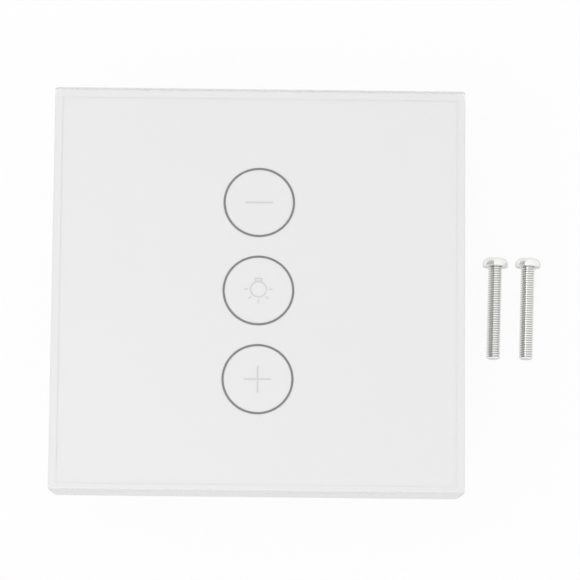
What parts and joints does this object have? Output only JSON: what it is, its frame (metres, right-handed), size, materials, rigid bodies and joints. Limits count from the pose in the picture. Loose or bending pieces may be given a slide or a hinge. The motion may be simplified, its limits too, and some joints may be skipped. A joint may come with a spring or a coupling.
{
  "type": "smart light switch",
  "caption": "Square wall dimmer switch with a flush glass touch panel, ringed touch keys, a base plate with slotted ears, a wall-box housing and loose mounting screws.",
  "frame": {"origin": "midway between the two wall-box slots, in the wall plane at the base plate's underside", "axes": "+Z out of the glass face, +Y towards the minus key, +X to the right of the keys"},
  "size_m": [0.1036, 0.086, 0.0383],
  "materials": {
    "clear_glass": "polished",
    "white_print": "smooth",
    "grey_ink": "printed",
    "pale_ink": "printed",
    "white_foam": "matte foam",
    "panel_plastic": "satin",
    "housing_plastic": "fine moulded texture",
    "milky_plastic": "milky",
    "white_board": "white solder mask",
    "green_board": "green solder mask",
    "black_plastic": "moulded",
    "lamp_resin": "clear resin over white",
    "spring_steel": "drawn wire",
    "plated_steel": "zinc plated",
    "bright_nickel": "bright nickel plate",
    "shield_tin": "tinned sheet",
    "brass": "pressed strip",
    "terminal_plastic": "moulded",
    "ferrite": "sintered",
    "yellow_tape": "wound tape",
    "copper": "enamelled wire",
    "capacitor_sleeve": "shrink sleeve",
    "capacitor_case": "cast box",
    "fuse_case": "moulded cup",
    "varistor_coat": "dipped epoxy",
    "sink_aluminium": "sheared sheet"
  },
  "bodies": {
    "switch_body": {"base_plate": "housing_plastic", "rear_housing": "housing_plastic", "housing_screws": "plated_steel", "power_board_screws": "plated_steel", "touch_board": "white_board", "touch_chip": "black_plastic", "led_chips": "lamp_resin", "light_guide_minus": "milky_plastic", "light_guide_lamp": "milky_plastic", "light_guide_plus": "milky_plastic", "touch_spring_minus": "spring_steel", "touch_spring_lamp": "spring_steel", "touch_spring_plus": "spring_steel", "wifi_board": "green_board", "wifi_shield": "shield_tin", "board_header": "black_plastic", "header_socket": "black_plastic", "power_board": "green_board", "dimmer_chip": "black_plastic", "terminal_block": "terminal_plastic", "terminal_contacts": "brass", "transformer_core": "ferrite", "transformer_winding": "yellow_tape", "bulk_capacitor": "capacitor_sleeve", "film_capacitor": "capacitor_case", "fuse": "fuse_case", "choke_core": "ferrite", "choke_winding": "copper", "bridge_rectifier": "black_plastic", "varistor": "varistor_coat", "optocoupler": "black_plastic", "mosfet_left": "black_plastic", "mosfet_right": "black_plastic", "heat_sink": "sink_aluminium"},
    "front_panel": {"glass_panel": "clear_glass", "graphic_film": "white_print", "ring_marks": "grey_ink", "symbol_marks": "pale_ink", "adhesive_tape": "white_foam", "front_frame": "panel_plastic"},
    "terminal_screw_line": {"terminal_screw_line": "plated_steel"},
    "terminal_cage_line": {"terminal_cage_line": "plated_steel"},
    "terminal_screw_neutral": {"terminal_screw_neutral": "plated_steel"},
    "terminal_cage_neutral": {"terminal_cage_neutral": "plated_steel"},
    "terminal_screw_lamp": {"terminal_screw_lamp": "plated_steel"},
    "terminal_cage_lamp": {"terminal_cage_lamp": "plated_steel"},
    "mounting_screw_left": {"mounting_screw_left": "bright_nickel"},
    "mounting_screw_right": {"mounting_screw_right": "bright_nickel"}
  },
  "joints": [
    {"name": "panel_lift", "type": "slide", "parent": "switch_body", "child": "front_panel", "axis": [0, 0, 1], "range_m": [0, 0.03]},
    {"name": "line_screw_turn", "type": "hinge", "parent": "switch_body", "child": "terminal_screw_line", "pos_m": [-0.0075, -0.01805, -0.0208], "axis": [0, 0, -1], "range_deg": [0, 2160]},
    {"name": "line_cage_slide", "type": "slide", "parent": "switch_body", "child": "terminal_cage_line", "axis": [0, 0, 1], "range_m": [0, 0.003]},
    {"name": "neutral_screw_turn", "type": "hinge", "parent": "switch_body", "child": "terminal_screw_neutral", "pos_m": [0, -0.01805, -0.0208], "axis": [0, 0, -1], "range_deg": [0, 2160]},
    {"name": "neutral_cage_slide", "type": "slide", "parent": "switch_body", "child": "terminal_cage_neutral", "axis": [0, 0, 1], "range_m": [0, 0.003]},
    {"name": "lamp_screw_turn", "type": "hinge", "parent": "switch_body", "child": "terminal_screw_lamp", "pos_m": [0.0075, -0.01805, -0.0208], "axis": [0, 0, -1], "range_deg": [0, 2160]},
    {"name": "lamp_cage_slide", "type": "slide", "parent": "switch_body", "child": "terminal_cage_lamp", "axis": [0, 0, 1], "range_m": [0, 0.003]},
    {"name": "left_screw_lift", "type": "slide", "parent": "switch_body", "child": "mounting_screw_left", "axis": [0, 0, 1], "range_m": [0, 0.04]},
    {"name": "right_screw_lift", "type": "slide", "parent": "switch_body", "child": "mounting_screw_right", "axis": [0, 0, 1], "range_m": [0, 0.04]}
  ],
  "couplings": [
    {"joint": "line_screw_turn", "follows": "line_cage_slide", "rad_per_m": 12566},
    {"joint": "neutral_screw_turn", "follows": "neutral_cage_slide", "rad_per_m": 12566},
    {"joint": "lamp_screw_turn", "follows": "lamp_cage_slide", "rad_per_m": 12566}
  ]
}
